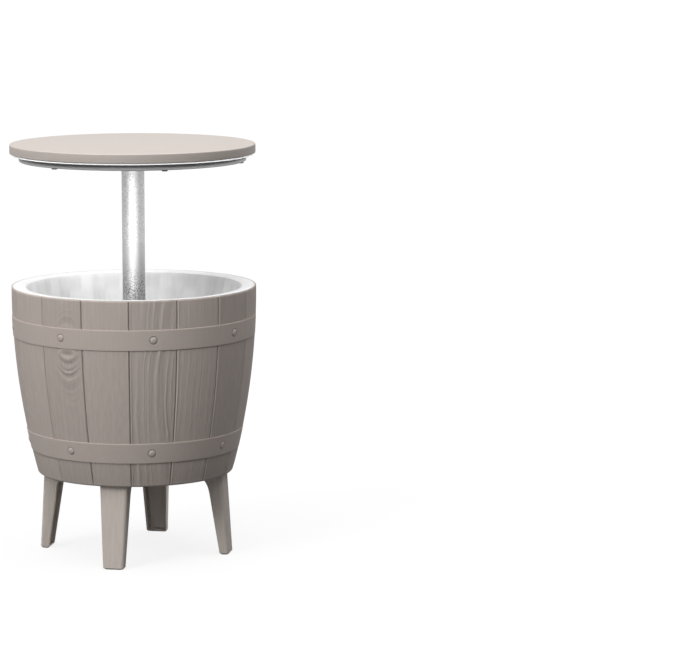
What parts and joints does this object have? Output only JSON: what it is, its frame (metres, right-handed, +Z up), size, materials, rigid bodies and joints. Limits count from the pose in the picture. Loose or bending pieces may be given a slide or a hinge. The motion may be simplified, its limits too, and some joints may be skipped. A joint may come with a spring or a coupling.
{
  "type": "cooler table with lid",
  "caption": "Round patio table whose barrel-shaped body is a drinks cooler; the top is its lid and rises on a central post. Shown raised.",
  "frame": {"origin": "on the floor under the middle of the barrel, at the height of the feet", "axes": "+Z up along the post, -Y towards the front leg, +X towards the right leg"},
  "size_m": [0.4954, 0.4954, 0.835],
  "materials": {
    "taupe_resin": "moulded, wood-grained satin",
    "white_resin": "moulded, smooth satin",
    "post_aluminium": "satin anodised",
    "cast_aluminium": "as cast",
    "screw_steel": "bright zinc",
    "grey_nylon": "moulded satin",
    "dark_rubber": "matt",
    "drain_resin": "moulded satin"
  },
  "bodies": {
    "barrel": {"barrel_shell": "taupe_resin", "tub_liner": "white_resin", "front_leg": "taupe_resin", "right_leg": "taupe_resin", "back_leg": "taupe_resin", "left_leg": "taupe_resin", "leg_screws": "screw_steel", "guide_column": "white_resin", "column_gasket": "dark_rubber", "column_screws": "screw_steel", "column_collar": "grey_nylon", "drain_fitting": "drain_resin", "drain_gasket": "dark_rubber", "drain_nut": "drain_resin"},
    "glide": {"lock_glide": "grey_nylon"},
    "tabletop": {"mast_tube": "post_aluminium", "mast_plug": "grey_nylon", "glide_washer": "screw_steel", "plug_screw": "screw_steel", "mast_flange": "cast_aluminium", "mast_pin": "screw_steel", "flange_screws": "screw_steel", "table_top": "taupe_resin", "lid_cover": "white_resin", "lid_bumpers": "dark_rubber", "cover_screws": "screw_steel"},
    "stopper": {"drain_plug": "drain_resin", "plug_seal": "dark_rubber"}
  },
  "joints": [
    {"name": "table_lift", "type": "slide", "parent": "barrel", "child": "glide", "axis": [0, 0, 1], "range_m": [-0.25, 0]},
    {"name": "table_turn", "type": "hinge", "parent": "glide", "child": "tabletop", "pos_m": [0, 0, 0.4667], "axis": [0, 0, 1], "range_deg": [0, 90]},
    {"name": "drain_pull", "type": "slide", "parent": "barrel", "child": "stopper", "axis": [0, 0, 1], "range_m": [0, 0.05]}
  ]
}
